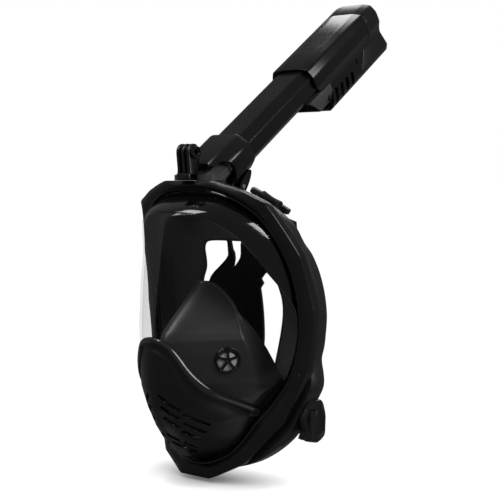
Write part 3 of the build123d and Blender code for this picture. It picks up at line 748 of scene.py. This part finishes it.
# ---------------------------------------------------------------------------- silicone
class SoftParts:
    """The face skirt and the nose pocket."""

    def __init__(self, shop: Workshop) -> None:
        """Args: shop: the materials."""
        self.shop = shop

    @staticmethod
    def at(outline: Outline, grow: float, depth: float, wave: float = 0.0) -> np.ndarray:
        """A loop on an outline.

        Args:
            outline: where it runs.
            grow: millimetres outwards.
            depth: millimetres behind the ring's curve.
            wave: how much of the side's scallops it takes.
        Returns:
            The loop's points.
        """
        angles = circle_angles()
        radius = outline.radius(angles) + grow
        z = outline.centre + radius * np.sin(angles)
        dips = np.exp(-((z - 74) / 9) ** 2) + np.exp(-((z + 33) / 9) ** 2)
        dips = dips - 0.8 * np.exp(-((z + 54) / 9) ** 2)
        swell = np.exp(-((z - 15) / 26) ** 2)
        radius = radius + wave * (1.1 * swell - 2.6 * dips)
        x, z = radius * np.cos(angles), outline.centre + radius * np.sin(angles)
        return np.stack([x, FORM.depth(z) + depth, z], 1)

    def skirt(self) -> None:
        """Builds the skirt: bead, outer wall, rolled rear edge, seal and opening."""
        section = [(WINDOW, 4.8, 5.8, 0), (WINDOW, 4.8, 8.2, 0), (WINDOW, 3.0, 9.2, 0),
                   (WINDOW, 2.6, 13.6, 0), (SKIRT, -4.0, 14.4, 0.2), (SKIRT, -1.0, 15.2, 0.5),
                   (SKIRT, 0.0, 17.0, 0.8), (SKIRT, 0.4, 24.0, 1.0), (SKIRT, 0.4, 30.0, 1.2),
                   (SKIRT, -0.6, 33.4, 1.1), (SKIRT, -3.2, 35.2, 0.9), (SKIRT, -9.0, 35.3, 0.5),
                   (SKIRT, -18.0, 34.0, 0), (OPENING, 7.0, 32.0, 0),
                   (OPENING, 2.5, 29.5, 0), (OPENING, 0.6, 28.2, 0), (OPENING, 0.4, 27.0, 0),
                   (OPENING, 2.5, 26.6, 0), (OPENING, 8.0, 29.0, 0), (SKIRT, -18.0, 31.0, 0),
                   (SKIRT, -9.0, 32.2, 0.5), (SKIRT, -4.4, 31.4, 0.8), (SKIRT, -3.0, 28.0, 1.0),
                   (SKIRT, -3.2, 18.4, 0.8), (WINDOW, 0.8, 16.6, 0), (WINDOW, 0.4, 9.0, 0),
                   (WINDOW, -1.6, 6.6, 0), (WINDOW, -1.6, 5.8, 0)]
        skirt = loft("silicone_skirt", [self.at(*part) for part in section])
        skirt.data.materials.append(self.shop["skirt"])
        skirt.data.materials.append(self.shop["lining"])
        # the skirt's inner faces, from the seventeenth row on, take the lighter copy of the silicone:
        # painted light
        for number, face in enumerate(skirt.data.polygons):
            face.material_index = 1 if number // STEPS >= 17 else 0
        finish(skirt, self.shop["skirt"], Body.MASK, "skirt_silicone", ["face_skirt"])

    @staticmethod
    def pocket_depth(x: np.ndarray, z: np.ndarray) -> np.ndarray:
        """Returns: the depth of the nose pocket's face."""
        heights = [-110, -98, -86, -72, -50, -24, -13, -6, 4, 18, 30, 40]
        depths = [-74, -83, -92, -101, -108.5, -111, -110.6, -107, -97, -81, -67, -56]
        middle = np.interp(z, heights, depths)
        return middle + 1.6 * (np.sqrt(x ** 2 + 64) - 8)

    def pocket(self) -> None:
        """Builds the nose pocket: a keeled face, side walls and a crease where they meet."""
        face = []
        angles = circle_angles()
        edge = POCKET.radius(angles)
        shares = 1 - (1 - np.linspace(0, 1, 31)[1:]) ** 1.3
        for share in shares:
            x, z = edge * share * np.cos(angles), POCKET.centre + edge * share * np.sin(angles)
            face.append(np.stack([x, self.pocket_depth(x, z), z], 1))
        lip = face[-1]
        line = np.interp(lip[:, 2], [-110, -60, -25, 30, 42], [-30, -3, -26, -64, -72])
        rear = np.minimum(FORM.depth(lip[:, 2]) + 31.0, line)
        for share, swell in ((0.04, 0.5), (0.12, 0.9), (0.4, 1.2), (0.7, 1.8), (1.0, 3.0)):
            ring = lip.copy()
            ring[:, 1] = lip[:, 1] + np.maximum(rear - lip[:, 1], 1.0) * share
            ring[:, 0] += swell * np.cos(angles)
            ring[:, 2] += swell * np.sin(angles)
            face.append(ring)
        points = np.concatenate([[[0, 0, POCKET.centre]], *face])
        points[0, 1] = self.pocket_depth(np.array([0.0]), np.array([POCKET.centre]))[0]
        pocket = build_mesh("nose_cup", points, fan(len(angles), len(face)))
        thicken(pocket, 1.8, -1.0)
        finish(pocket, self.shop["pocket"], Body.MASK, "pocket_silicone", ["nose_pocket"])

    def build(self) -> None:
        """Builds every silicone piece."""
        self.skirt()
        self.pocket()


# ---------------------------------------------------------------------------- valves
class Valves:
    """The spoked inlet valves in the nose pocket's sides."""

    def __init__(self, shop: Workshop) -> None:
        """Args: shop: the materials."""
        self.shop = shop

    def wheel(self, node: str, side: int) -> None:
        """Builds one wheel with five spokes.

        Args:
            node: the CAD node it stands for.
            side: 1 on the wearer's left, -1 on the right.
        """
        low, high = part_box(node)
        middle = (low + high) / 2 / MM
        turn = math.radians(57.0)
        normal = Vector((side * math.sin(turn), -math.cos(turn), 0))
        across = Vector((side * math.cos(turn), math.sin(turn), 0))
        basis = Matrix((across, Vector((0, 0, 1)), normal)).transposed().to_4x4()
        place = Matrix.Translation(middle) @ basis
        angles = circle_angles(72)
        section = [(9.8, -2.0), (9.8, 1.6), (10.2, 2.1), (11.1, 2.1), (11.5, 1.7), (11.5, -2.0)]
        loops = [np.array([[r * math.cos(a), r * math.sin(a), h] for a in angles])
                 for r, h in section]
        parts = [loft("rim", loops)]
        hub = [np.array([[r * math.cos(a), r * math.sin(a), h] for a in circle_angles(30)])
               for r, h in ((3.0, 0.6), (3.0, 2.0), (2.7, 2.3), (1.5, 2.3), (1.4, 1.6), (1.4, 0.8))]
        parts.append(loft("hub", hub, closed=False, caps=True))
        for number in range(5):
            spoke = bmesh.new()
            turn_by = Matrix.Rotation(math.radians(90 + 72 * number), 4, "Z")
            add_box(spoke, turn_by @ Matrix.Translation((6.3, 0, 1.4)), (7.4, 2.4, 1.6))
            parts.append(from_worker("spoke", spoke))
        whole = join(parts, node.replace("valve_seat", "valve_wheel"))
        rescale(whole, place)
        soften(whole, 0.3, 2)
        finish(whole, self.shop["valve"], Body.MASK, "valve_black", [node])
        domed = [(0.6, 0.5), (5.0, 0.3), (9.0, -0.2), (9.6, -0.6), (9.4, -0.9), (5.0, -0.5), (0.6, -0.3)]
        disc = [np.array([[r * math.cos(a), r * math.sin(a), h] for a in angles]) for r, h in domed]
        flap = loft(node.replace("valve_seat", "flap_disc"), disc, closed=False, caps=True)
        rescale(flap, place)
        finish(flap, self.shop["flap"], Body.MASK, "flap_grey",
               [node.replace("valve_seat", "valve_flap")])

    def build(self) -> None:
        """Builds both inlet valves."""
        self.wheel("left_valve_seat", 1)
        self.wheel("right_valve_seat", -1)


def join(things: Sequence[bpy.types.Object], name: str) -> bpy.types.Object:
    """Joins meshes that lie in the same place into one object.

    Returns:
        The joined object.
    """
    worker = bmesh.new()
    for thing in things:
        worker.from_mesh(thing.data)
        bpy.data.objects.remove(thing)
    bmesh.ops.recalc_face_normals(worker, faces=worker.faces)
    whole = from_worker(name, worker)
    shade(whole.data)
    return whole


# ---------------------------------------------------------------------------- snorkel
@dataclass(frozen=True)
class TubeForm:
    """The breathing tube's sizes, in millimetres along and across its own axis."""

    lean: float = 55.5
    foot: tuple[float, float, float] = (0.0, -51.0, 130.0)
    width: float = 42.0
    half: float = 14.0
    corner: float = 8.0

    def matrix(self) -> Matrix:
        """Returns: from the tube's own directions to the row frame, in millimetres."""
        turn = math.radians(self.lean)
        along = Vector((0, math.sin(turn), math.cos(turn)))
        across = Vector((1, 0, 0))
        return (Matrix.Translation(self.foot)
                @ Matrix((across, along.cross(across), along)).transposed().to_4x4())


def rounded(points: Sequence[tuple[float, float]], radius: float, steps: int = 5) -> np.ndarray:
    """Rounds a polygon's corners.

    Args:
        points: its corners in order.
        radius: how far along each side the rounding starts.
        steps: points in each rounding.
    Returns:
        The rounded loop.
    """
    ring = [Vector(p) for p in points]
    out = []
    for i, corner in enumerate(ring):
        before = (ring[i - 1] - corner)
        after = (ring[(i + 1) % len(ring)] - corner)
        start = corner + before.normalized() * min(radius, before.length * 0.45)
        end = corner + after.normalized() * min(radius, after.length * 0.45)
        for t in np.linspace(0, 1, steps):
            out.append(tuple(start * (1 - t) ** 2 + corner * 2 * t * (1 - t) + end * t ** 2))
    return np.array(out)


def dense(loop: np.ndarray, step: float = 0.8) -> np.ndarray:
    """Returns: the closed loop with points at most a step apart."""
    out = []
    for here, there in zip(loop, np.roll(loop, -1, 0)):
        count = max(1, int(np.ceil(np.hypot(*(there - here)) / step)))
        out += [here + (there - here) * k / count for k in range(count)]
    share = np.linspace(0, len(out), 240, endpoint=False)
    closed = np.array(out + out[:1])
    spots = np.arange(len(closed))
    return np.column_stack([np.interp(share, spots, closed[:, k]) for k in (0, 1)])


def octagon(form: TubeForm, grow: float, rear: float = 0.0) -> list[tuple[float, float]]:
    """Returns: the tube's faceted section, grown all round and further at its rear."""
    x, a, b = form.width / 2 + grow, form.half + grow, form.half + rear + grow
    c = form.corner + 0.4 * grow
    return [(x - c, -a), (x, -a + c), (x, b - c), (x - c, b),
            (-x + c, b), (-x, b - c), (-x, -a + c), (-x + c, -a)]


class Snorkel:
    """The collar, the tube and the dry top."""

    def __init__(self, shop: Workshop) -> None:
        """Args: shop: the materials."""
        self.shop = shop
        self.form = TubeForm()
        self.place = self.form.matrix()

    def placed(self, loop: np.ndarray, height: float | np.ndarray) -> np.ndarray:
        """Returns: a flat loop set at a height along the tube, in the row frame."""
        heights = np.broadcast_to(height, (len(loop),))
        local = np.column_stack([loop, heights, np.ones(len(loop))])
        return (np.array(self.place) @ local.T).T[:, :3]

    def sleeve(self, name: str, rows: Sequence[tuple[np.ndarray, float | np.ndarray]],
               closed: bool = True, caps: bool = False) -> bpy.types.Object:
        """Skins a row of (loop, height).

        Returns:
            The object.
        """
        return loft(name, [self.placed(loop, height) for loop, height in rows], closed, caps)

    def tube(self) -> None:
        """Builds the faceted tube with its inner webs."""
        outer = rounded(octagon(self.form, 0.0), 1.2)
        inner = rounded(octagon(self.form, -2.2), 1.0)
        wide = rounded(octagon(self.form, 0.0, 1.6), 1.2)
        tube = self.sleeve("breathing_tube", [(outer, 13.2), (outer, 40.6), (wide, 42.0),
                                              (wide, 110.0), (wide, 170.0), (inner, 170.0),
                                              (inner, 13.2)])
        finish(tube, self.shop["tube"], Body.SNORKEL, "tube_black", ["snorkel_tube"])
        for number, x in enumerate((-7.0, 7.0)):
            flat = np.array([(x - 0.8, -12), (x + 0.8, -12), (x + 0.8, 12), (x - 0.8, 12)])
            web = self.sleeve(f"tube_web_{number}", [(flat, 13.4), (flat, 169.8)], False, True)
            finish(web, self.shop["tube"], Body.SNORKEL, "tube_black")

    def collar(self) -> None:
        """Builds the collar with its arches and its knuckles."""
        outer = dense(rounded(octagon(self.form, 4.0), 2.4))
        inner = dense(rounded(octagon(self.form, 0.05), 1.2))
        arch = np.linspace(-13.4, 10.8, 24)
        across = [-19.0, -13.6, *arch, 11.2, 14.0, 15.4, 16.2, 19.0]
        curve = np.sqrt(13.5 ** 2 - (arch + 0.5) ** 2) - 3.0
        height = [-8.0, -8.0, *curve, 3.0, 3.0, 3.6, 22.0, 22.0]
        base, base_in = (np.interp(loop[:, 1], across, height) for loop in (outer, inner))
        parts = [self.sleeve("sleeve", [(outer * 0.985, base), (outer, base + 0.8), (outer, 37.2),
                                        (outer * 0.97, 39.4), (outer * 0.93, 40.0), (inner, 40.0),
                                        (inner, base_in)])]
        ring = np.linspace(0.0, 2 * math.pi, 48, endpoint=False)
        for side in (-1, 1):
            rise = np.maximum(np.sin(ring), 0.0)
            outside = np.column_stack([22.0 + 5.0 * np.cos(ring) - 6.0 * rise,
                                       15.0 + 5.0 * np.sin(ring) + 11.5 * rise])
            bore = np.column_stack([22.0 + 2.1 * np.cos(ring), 15.0 + 2.1 * np.sin(ring)])
            rows = [(np.column_stack([np.full(48, side * x), loop[:, 0]]), loop[:, 1])
                    for x, loop in ((14.0, bore), (14.0, outside), (21.0, outside), (21.0, bore))]
            parts.append(self.sleeve("knuckle", rows))
        collar = join(parts, "tube_collar")
        finish(collar, self.shop["tube"], Body.SNORKEL, "tube_black", ["snorkel_collar"])

    def dry_top(self) -> None:
        """Builds the dry top: a faceted front with a fluted rear, a cap and a scoop."""
        section = [(12, -17), (21, -15), (25, -7), (25, 4), (21.5, 11), (19.5, 17), (20, 25),
                   (20.5, 34), (16, 41), (-16, 41), (-20.5, 34), (-20, 25), (-19.5, 17),
                   (-21.5, 11), (-25, 4), (-25, -7), (-21, -15), (-12, -17)]
        outer = dense(rounded(section, 1.6))
        inner = outer * np.array([0.91, 0.92])
        back = smoothstep(outer[:, 1], 2.0, 24.0)
        foot = 154.0 + 17.0 * back
        seam = np.interp(outer[:, 1], [-17, 8, 34, 41], [263.0, 259.0, 234.0, 232.0])
        body = self.sleeve("drytop_body", [(outer * 0.985, foot), (outer, foot + 1.0), (outer, 190.0),
                                           (outer, 222.0), (outer, seam - 0.8), (outer * 0.985, seam),
                                           (inner, seam), (inner, foot)])
        slots = bmesh.new()
        turn = Matrix.Rotation(math.radians(-22), 4, "X")
        for side in (-1, 1):
            boxes = [(30.5, 174.0 + 10.6 * number, (10.0, 15.0 - 0.8 * number, 5.0))
                     for number in range(5)] + [(21.0, 232.0, (10.0, 5.0, 2.0))]
            for y, height, size in boxes:
                add_box(slots, self.place @ Matrix.Translation((side * 20.0, y, height)) @ turn, size)
        cut(body, from_worker("slots", slots))
        shade(body.data, 24)
        finish(body, self.shop["tube"], Body.SNORKEL, "tube_black", ["drytop_housing"])
        crown = np.interp(outer[:, 1], [-17, 6, 16, 41], [284.0, 285.0, 286.5, 292.5])
        cap = self.sleeve("drytop_crown", [(outer * 0.985, seam + 0.5), (outer, seam + 1.3),
                                           (outer, crown - 1.6), (outer * 0.985, crown - 0.5),
                                           (outer * 0.95, crown)], False, True)
        shade(cap.data, 24)
        finish(cap, self.shop["cover"], Body.SNORKEL, "tube_black", ["drytop_cap"])
        scoop = [(-20.5, 14), (20.5, 14), (20.5, 22), (16, 33), (-16, 33), (-20.5, 22)]
        mouth = rounded(scoop, 2.0)
        inside = mouth * np.array([0.9, 0.93]) + np.array([0, 1.4])
        low = np.interp(mouth[:, 1], [14, 33], [141.0, 157.5])
        chute = self.sleeve("intake_chute", [(mouth, low), (mouth, low + 1.5), (mouth, 180.0),
                                             (inside, 180.0), (inside, low + 1.5), (inside, low)])
        finish(chute, self.shop["grey"], Body.SNORKEL, "scoop_grey", ["intake_scoop"])

    def build(self) -> None:
        """Builds the whole snorkel."""
        self.tube()
        self.collar()
        self.dry_top()


# ---------------------------------------------------------------------------- fork
class CameraFork:
    """The three-pronged camera mount on the forehead."""

    def __init__(self, shop: Workshop) -> None:
        """Args: shop: the materials."""
        self.shop = shop

    def build(self) -> None:
        """Builds the prongs, the foot and the nut's boss."""
        low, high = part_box("camera_fork")
        centre = Vector(((low.x + high.x) / 2, (low.y + high.y) / 2, high.z)) / MM
        radius = (high.y - low.y) / MM / 2
        foot = low.z / MM
        parts = []
        for x in (-6.0, 0.0, 6.0):
            arc = [(centre.y + radius * math.cos(a), centre.z - radius + radius * math.sin(a))
                   for a in np.linspace(-0.15, math.pi + 0.15, 30)]
            side = np.array([(centre.y + 4.4, foot + 1)] + [(centre.y + 5.6, foot + 9)] + arc
                            + [(centre.y - 5.8, foot + 9), (centre.y - 6.6, foot + 1)])
            loops = [np.column_stack([np.full(len(side), x + dx), side]) for dx in (-1.5, 1.5)]
            parts.append(loft("prong", loops, closed=False, caps=True))
        base = np.array([(-7.5, -7.4), (7.5, -7.4), (7.5, 2.6), (-7.5, 2.6)])
        rows = [np.column_stack([base[:, 0], base[:, 1] + centre.y, np.full(4, h)])
                for h in (foot, foot + 6.0)]
        parts.append(loft("foot", rows, closed=False, caps=True))
        fork = join(parts, "camera_prongs")
        soften(fork, 0.7, 3)
        ring = circle_angles(40)
        bore = [np.column_stack([np.full(40, x), centre.y + 2.6 * np.cos(ring),
                                 centre.z - radius + 2.6 * np.sin(ring)]) for x in (-12.0, 12.0)]
        cut(fork, loft("bore", bore, closed=False, caps=True))
        shade(fork.data, 35)
        finish(fork, self.shop["frame"], Body.MASK, "frame_black", ["camera_fork"])
        boss = [(5.6, 7.4), (5.6, 10.2), (5.2, 10.7), (4.0, 10.7), (3.7, 9.6), (2.7, 9.4), (2.7, 7.4)]
        loops = [np.column_stack([np.full(40, x), centre.y + r * np.cos(ring),
                                  centre.z - radius + r * np.sin(ring)]) for r, x in boss]
        nut = loft("nut_boss", loops)
        finish(nut, self.shop["gloss"], Body.MASK, "frame_black", ["camera_nut"])


# ---------------------------------------------------------------------------- straps
def ribbon(name: str, path: Sequence[Sequence[float]], across: Sequence[float], width: float,
           thick: float) -> bpy.types.Object:
    """Sweeps a flat strip with rounded edges along a path.

    Args:
        name: the object's name.
        path: points of its middle line.
        across: the direction of its width.
        width: millimetres across.
        thick: millimetres thick.
    Returns:
        The object.
    """
    line = np.asarray(path, float)
    line = np.column_stack([np.interp(np.linspace(0, len(line) - 1, 6 * len(line)),
                                      np.arange(len(line)), line[:, k]) for k in range(3)])
    run = np.gradient(line, axis=0)
    run /= np.linalg.norm(run, axis=1)[:, None]
    side = np.asarray(across, float) - run * (run @ np.asarray(across, float))[:, None]
    side /= np.linalg.norm(side, axis=1)[:, None]
    normal = np.cross(run, side)
    half, deep = width / 2, thick / 2
    section = rounded([(-half, -deep), (half, -deep), (half, deep), (-half, deep)], deep * 0.9)
    loops = [spot + section[:, :1] * a + section[:, 1:] * b
             for spot, a, b in zip(line, side, normal)]
    return loft(name, loops, closed=False, caps=True)


class Straps:
    """The elastic head strap and its clips."""

    def __init__(self, shop: Workshop) -> None:
        """Args: shop: the materials."""
        self.shop = shop

    @staticmethod
    def plate(name: str, outline: np.ndarray, place: Callable, thick: float) -> bpy.types.Object:
        """Builds a bent plate from a flat outline.

        Args:
            name: the object's name.
            outline: (x, z) loop.
            place: bends flat points, an (n, 3) array, into place.
            thick: thickness in millimetres.
        Returns:
            The object.
        """
        worker = bmesh.new()
        ring = [worker.verts.new((x, 0, z)) for x, z in outline]
        worker.faces.new(ring)
        for axis, reach in ((0, 90), (2, 110)):
            for step in np.arange(-reach, reach, 6.0):
                normal, spot = [0.0] * 3, [0.0] * 3
                normal[axis], spot[axis] = 1.0, float(step)
                bmesh.ops.bisect_plane(worker, geom=worker.verts[:] + worker.edges[:]
                                       + worker.faces[:], plane_co=spot, plane_no=normal)
        points = np.array([v.co[:] for v in worker.verts])
        for vert, spot in zip(worker.verts, place(points)):
            vert.co = Vector(spot) * MM
        bmesh.ops.triangulate(worker, faces=[f for f in worker.faces if len(f.verts) > 4])
        thing = from_worker(name, worker)
        thicken(thing, thick, 0.0)
        soften(thing, 0.5, 2, 50)
        return thing

    def panel(self) -> None:
        """Builds the rear panel with its notched top."""
        outline = np.array([(-18, 43), (-15, 55), (-11.5, 67), (-2, 82), (20, 91), (44, 95), (60, 89),
                            (56, 76), (38, 60), (24, 44), (18.5, 35), (20.5, 31), (16, 26),
                            (17, 0), (18, -26), (26, -46), (46, -64), (68, -74), (66, -95),
                            (40, -90), (0, -72), (-40, -90), (-66, -95), (-68, -74),
                            (-58, -50), (-53, -24), (-53, 4), (-52, 24), (-44, 32), (-36.6, 43),
                            (-30, 56), (-27, 69), (-31, 82), (-46, 93), (-60, 90), (-56, 96),
                            (-40, 97), (-26, 88), (-22, 76), (-23.6, 62), (-21, 52)])

        def bend(points: np.ndarray) -> np.ndarray:
            """Returns: the flat panel laid along the skirt's rear curve."""
            out = points.copy()
            out[:, 1] = FORM.depth(points[:, 2]) + 38.5
            out[:, 1] += 0.5 * np.sin(points[:, 0] / 21) * np.cos(points[:, 2] / 30)
            out[:, 0] += 14.5 * smoothstep(points[:, 2], 34.0, 58.0) - 1.5
            return out

        panel = self.plate("strap_back", outline, bend, 2.6)
        finish(panel, self.shop["strap"], Body.MASK, "strap_black", ["strap_panel"])

    def arms(self, side: int, word: str) -> None:
        """Builds one side's two webbing arms and the clips they run through.

        Args:
            side: 1 on the wearer's left, -1 on the right.
            word: the side's name in the CAD nodes.
        """
        turn = np.linspace(-0.2, math.pi, 14)
        hook = [(50 + 1.5 * math.sin(a), -24.4 + 3.0 * math.cos(a), 107.0 + 3.4 * math.sin(a))
                for a in turn]
        path = [(46, -11.0, 82), (48, -15.5, 91), (49.5, -20, 99), *hook, (50, -28, 101), (49.5, -27, 96)]
        upper = ribbon(f"{word}_upper_webbing", [(side * x, y, z) for x, y, z in path],
                       (side * 0.83, 0.25, -0.5), 20.0, 1.9)
        finish(upper, self.shop["strap"], Body.MASK, "strap_black", [f"{word}_upper_strap"])
        lower = ribbon(f"{word}_lower_webbing",
                       [(side * x, FORM.depth(-86.0) + d, -85.5 - 0.02 * x) for x, d in
                        ((60, 38.6), (68, 38.8), (76, 38.0), (82, 36.5), (88, 32.0), (92.4, 27.0),
                         (92.6, 23.0), (90.0, 20.0), (86.0, 21.5))], (0, 0.42, 1.0), 25.0, 1.9)
        finish(lower, self.shop["strap"], Body.MASK, "strap_black", [f"{word}_lower_strap"])
        start, end = Vector((side * 34, -31, 118)), Vector((side * 65, -17, 97.5))
        along = (end - start).normalized()
        across = Vector((0, 0, 1)).cross(along).normalized()
        basis = Matrix((along, across, along.cross(across))).transposed().to_4x4()
        place = Matrix.Translation((start + end) / 2) @ basis
        shape = rounded([(-20, -5), (20, -5), (20, 5), (-20, 5)], 3.0)
        rows = [np.column_stack([shape * grow, np.full(len(shape), h)])
                for grow, h in ((0.95, -2.6), (1.0, -1.9), (1.0, 1.9), (0.95, 2.6))]
        clip = loft(f"{word}_upper_buckle", rows, closed=False, caps=True)
        slit = rounded([(-12, -1.2), (12, -1.2), (12, 1.2), (-12, 1.2)], 1.0)
        for offset in (-2.4, 2.4):
            cut(clip, loft("slit", [np.column_stack([slit + (0, offset), np.full(len(slit), h)])
                                    for h in (-6.0, 6.0)], closed=False, caps=True))
        rescale(clip, place)
        shade(clip.data, 30)
        finish(clip, self.shop["clip"], Body.MASK, "clip_black", [f"{word}_upper_clip"])
        shape = rounded([(-31, -81), (-20, -65), (-2, -67), (3, -81), (2, -100), (-8, -105),
                         (-25, -101)], 4.0)
        centre = np.array([-13.0, -84.0])
        loops = []
        for grow, x in ((0.86, 86.0), (0.97, 86.3), (1.0, 87.4), (1.0, 90.2), (0.95, 91.5),
                        (0.80, 92.0), (0.72, 91.2), (0.4, 91.0)):
            flat = centre + (shape - centre) * grow
            loops.append(np.column_stack([np.full(len(flat), side * x), flat]))
        block = loft(f"{word}_lower_buckle", loops, closed=False, caps=True)
        finish(block, self.shop["clip"], Body.MASK, "clip_black", [f"{word}_lower_clip"])

    def build(self) -> None:
        """Builds the strap."""
        self.panel()
        self.arms(1, "left")
        self.arms(-1, "right")


# ---------------------------------------------------------------------------- CAD nodes that stay
KEPT = {
    "frame_clamp": "frame", "clamp_screws": "steel", "chin_valve_seat": "valve",
    "chin_valve_flap": "valve", "snorkel_socket": "grey", "socket_seal": "flap",
    "hinge_pin": "steel", "float_cage": "valve", "float_seal": "flap", "float_block": "float",
}


def dress_kept_nodes(shop: Workshop) -> None:
    """Gives the CAD nodes that stay in view their materials."""
    for name, key in KEPT.items():
        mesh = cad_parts[name].data
        mesh.materials.clear()
        mesh.materials.append(shop[key])


# ---------------------------------------------------------------------------- studio
@dataclass(frozen=True)
class Studio:
    """The floor, the lights and the camera."""

    azimuth: float = 42.0
    elevation: float = 7.0
    distance: float = 1.05
    focus: float = 85.0

    def floor(self) -> None:
        """Builds a plain pale floor under the chin, with painted contact shade near the mask."""
        low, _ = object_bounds()
        bpy.ops.mesh.primitive_plane_add(size=30.0, location=(0, 0, low.z - 0.004))
        floor = bpy.context.object
        floor.name = "floor"
        material, nodes = blank_material("pale floor")
        # painted contact shade: ambient occlusion darkens the floor's glow close to the mask
        painted_contact_shade = nodes.add("AmbientOcclusion", {"Distance": 0.03, "Color": (1, 1, 1, 1)})
        seen = nodes.add("LightPath").outputs["Is Camera Ray"]
        power = nodes.add("MapRange", {0: seen, 3: 0.12, 4: 1.12})
        glow = nodes.add("Emission", {"Color": painted_contact_shade.outputs[0], "Strength": power.outputs[0]})
        gloss = nodes.add("BsdfGlossy", {"Roughness": 0.12})
        mix = nodes.add("MixShader", {0: 0.08, 1: glow.outputs[0], 2: gloss.outputs[0]})
        nodes.add("OutputMaterial", {"Surface": mix.outputs[0]})
        floor.data.materials.append(material)
        floor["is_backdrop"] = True

    def light(self, name: str, azimuth: float, elevation: float, distance: float, size: float,
              power: float, target: Vector) -> None:
        """Adds one soft light aimed at the object."""
        data = bpy.data.lights.new(name, "AREA")
        data.shape = "RECTANGLE"
        data.size, data.size_y = size, size
        data.energy = power
        lamp = add_object(name, data)
        a, e = math.radians(azimuth), math.radians(elevation)
        back = Vector((math.sin(a) * math.cos(e), -math.cos(a) * math.cos(e), math.sin(e)))
        lamp.location = target + back * distance
        lamp.rotation_euler = (-back).to_track_quat("-Z", "Y").to_euler()
        lamp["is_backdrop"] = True

    def lights(self) -> None:
        """Adds the soft studio light and a white surround."""
        low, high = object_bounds()
        middle = (low + high) / 2
        self.light("key", -15, 55, 1.2, 0.7, 9.0, middle)
        self.light("side", 100, 25, 1.3, 0.6, 7.0, middle)
        self.light("back", 200, 40, 1.3, 0.8, 7.0, middle)
        world = bpy.data.worlds.new("surround")
        bpy.context.scene.world = world
        world.use_nodes = True
        world.node_tree.nodes.clear()
        nodes = NodeTree(world.node_tree)
        seen = nodes.add("LightPath").outputs["Is Camera Ray"]
        power = nodes.add("MapRange", {0: seen, 3: 0.12, 4: 1.0})
        sky = nodes.add("Background", {"Color": (1, 1, 1, 1), "Strength": power.outputs[0]})
        nodes.add("OutputWorld", {"Surface": sky.outputs[0]})

    def camera(self) -> None:
        """Sets the camera a metre away, a little above the mask's middle and to its left."""
        a, e = math.radians(self.azimuth), math.radians(self.elevation)
        back = Vector((math.sin(a) * math.cos(e), -math.cos(a) * math.cos(e), math.sin(e)))
        right = Vector((math.cos(a), math.sin(a), 0))
        up = back.cross(right)
        data = bpy.data.cameras.new("camera")
        data.lens = self.focus
        data.sensor_width = 36.0
        camera = add_object("camera", data)
        camera.location = Vector((0, -0.063, 0)) + back * self.distance
        aim = -back + right * 0.0432 + up * 0.061
        camera.rotation_mode = "QUATERNION"
        camera.rotation_quaternion = aim.to_track_quat("-Z", "Y")
        bpy.context.scene.camera = camera

    def build(self) -> None:
        """Builds the studio."""
        self.floor()
        self.lights()
        self.camera()
        bpy.context.scene.view_settings.view_transform = "Standard"


def main() -> None:
    """Builds the object and the studio round it."""
    logging.basicConfig(level=logging.INFO)
    shop = Workshop()
    for builder in (MaskShell(shop), SoftParts(shop), Valves(shop), Snorkel(shop),
                    CameraFork(shop), Straps(shop)):
        LOG.info("building %s", type(builder).__name__)
        builder.build()
    dress_kept_nodes(shop)
    Studio().build()


if __name__ == "__main__":
    main()
